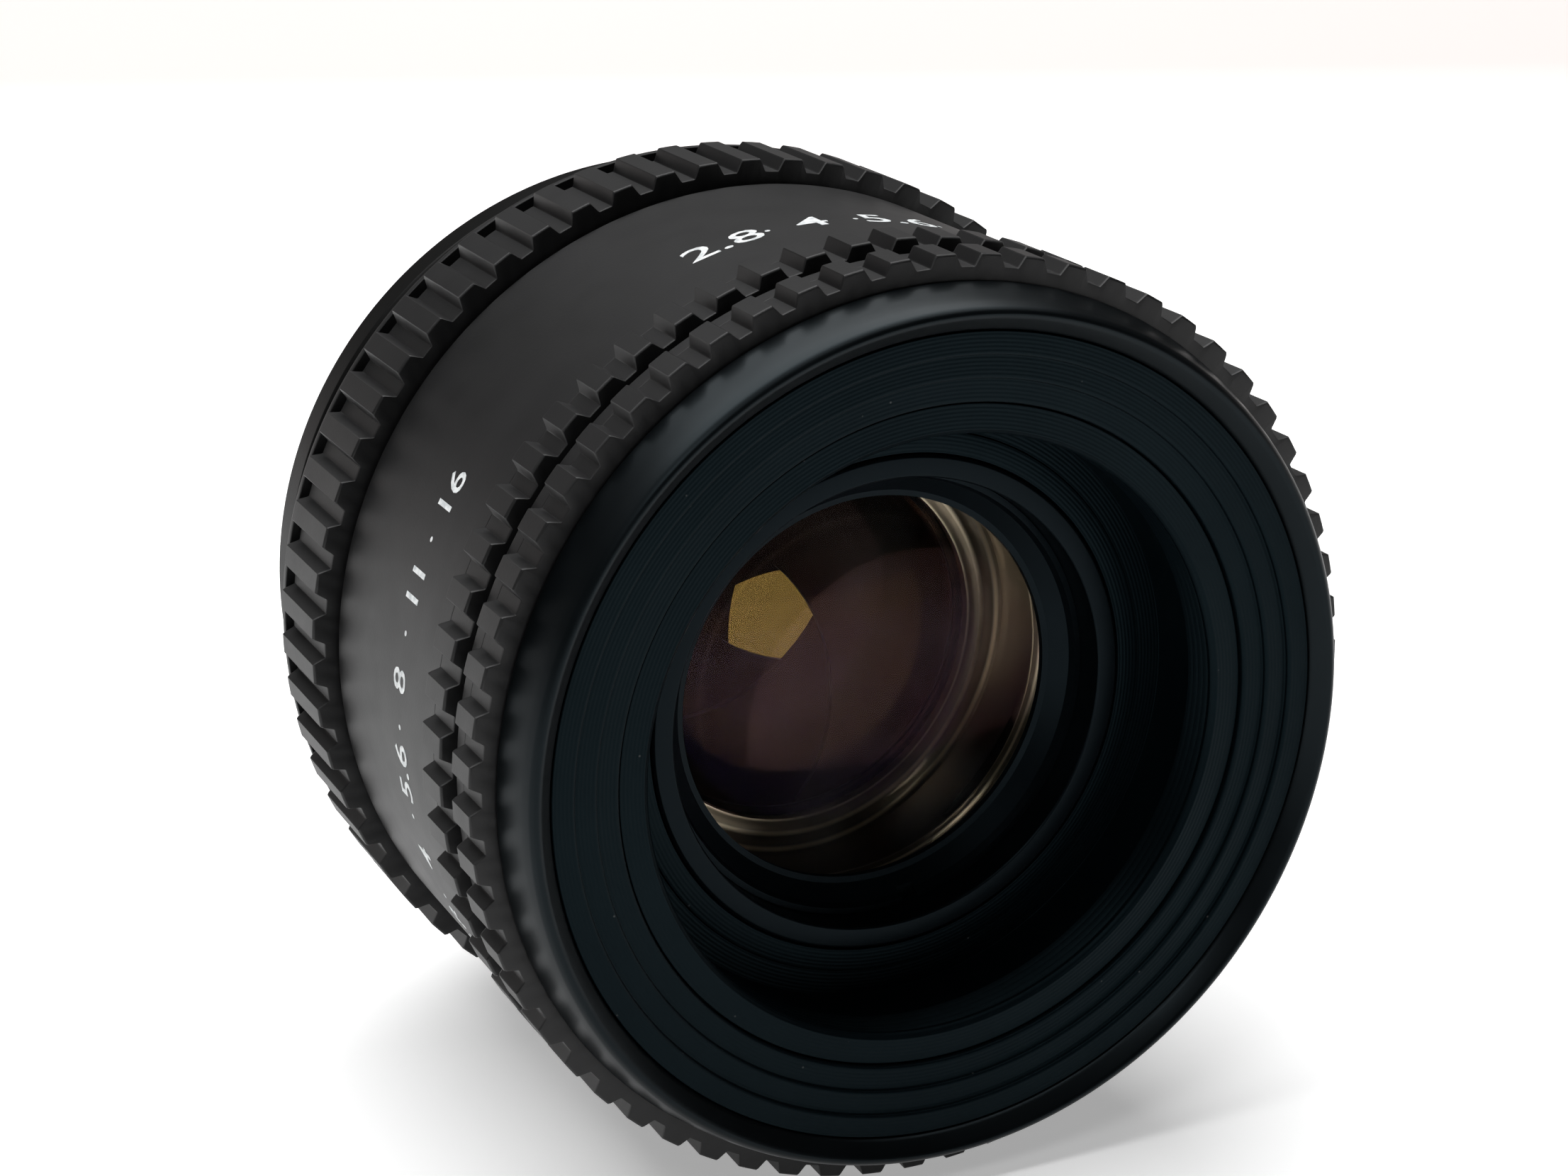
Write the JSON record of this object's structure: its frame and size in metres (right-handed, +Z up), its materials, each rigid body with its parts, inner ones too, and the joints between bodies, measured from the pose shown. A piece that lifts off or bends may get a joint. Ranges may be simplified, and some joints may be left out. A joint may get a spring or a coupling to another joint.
{
  "type": "prime camera lens",
  "caption": "Short black prime lens with a screw mount behind, three ribbed rings, a turning aperture ring, a stepped front and coated glass.",
  "frame": {"origin": "on the optical axis, in the rear face of the mounting flange; stored with the aperture at its smallest stop", "axes": "-Y along the optical axis towards the front, +Z up, the lens lying on its side"},
  "size_m": [0.0556, 0.0486, 0.0554],
  "materials": {
    "grip_black": "satin",
    "flange_black": "satin",
    "bezel_black": "gloss",
    "front_black": "satin",
    "cell_black": "matt",
    "iris_black": "matt",
    "screw_steel": "satin",
    "spacer_metal": "satin",
    "coated_glass": "polished"
  },
  "bodies": {
    "housing": {"mount": "flange_black", "rear_ring": "grip_black", "set_screws": "screw_steel", "barrel": "flange_black", "click_spring": "screw_steel", "front_ring": "grip_black", "bezel": "bezel_black", "terrace_ring": "front_black", "front_housing": "front_black", "lock_ring": "front_black", "front_cell": "cell_black", "front_retainer": "cell_black", "element_1": "coated_glass", "element_2": "coated_glass", "front_spacer": "spacer_metal", "element_3": "coated_glass", "iris_base": "iris_black", "element_4": "coated_glass", "rear_spacer": "spacer_metal", "element_5": "coated_glass", "element_6": "coated_glass", "rear_cell": "cell_black", "rear_retainer": "cell_black"},
    "aperture_ring": {"aperture_sleeve": "grip_black", "drive_screw": "screw_steel", "iris_cam": "iris_black"},
    "click_ball": {"click_ball": "screw_steel"},
    "blade_1": {"iris_blade_1": "iris_black"},
    "blade_2": {"iris_blade_2": "iris_black"},
    "blade_3": {"iris_blade_3": "iris_black"},
    "blade_4": {"iris_blade_4": "iris_black"},
    "blade_5": {"iris_blade_5": "iris_black"}
  },
  "joints": [
    {"name": "aperture_turn", "type": "hinge", "parent": "housing", "child": "aperture_ring", "pos_m": [0, -0.025, 0], "axis": [0, -1, 0], "range_deg": [-60, 0]},
    {"name": "blade_1_turn", "type": "hinge", "parent": "housing", "child": "blade_1", "pos_m": [0.0183, -0.018, 0], "axis": [0, -1, 0], "range_deg": [-24, 0]},
    {"name": "blade_2_turn", "type": "hinge", "parent": "housing", "child": "blade_2", "pos_m": [0.00566, -0.018, 0.0174], "axis": [0, -1, 0], "range_deg": [-24, 0]},
    {"name": "blade_3_turn", "type": "hinge", "parent": "housing", "child": "blade_3", "pos_m": [-0.01481, -0.018, 0.01076], "axis": [0, -1, 0], "range_deg": [-24, 0]},
    {"name": "blade_4_turn", "type": "hinge", "parent": "housing", "child": "blade_4", "pos_m": [-0.01481, -0.018, -0.01076], "axis": [0, -1, 0], "range_deg": [-24, 0]},
    {"name": "blade_5_turn", "type": "hinge", "parent": "housing", "child": "blade_5", "pos_m": [0.00566, -0.018, -0.0174], "axis": [0, -1, 0], "range_deg": [-24, 0]},
    {"name": "click_slide", "type": "slide", "parent": "housing", "child": "click_ball", "axis": [0, 0, 1], "range_m": [0, 0.00025], "stiffness_N_per_m": 200, "springref_m": 0.0015, "deforming": ["click_spring"]}
  ],
  "couplings": [
    {"joint": "blade_1_turn", "follows": "aperture_turn", "ratio": 0.4},
    {"joint": "blade_2_turn", "follows": "aperture_turn", "ratio": 0.4},
    {"joint": "blade_3_turn", "follows": "aperture_turn", "ratio": 0.4},
    {"joint": "blade_4_turn", "follows": "aperture_turn", "ratio": 0.4},
    {"joint": "blade_5_turn", "follows": "aperture_turn", "ratio": 0.4}
  ]
}
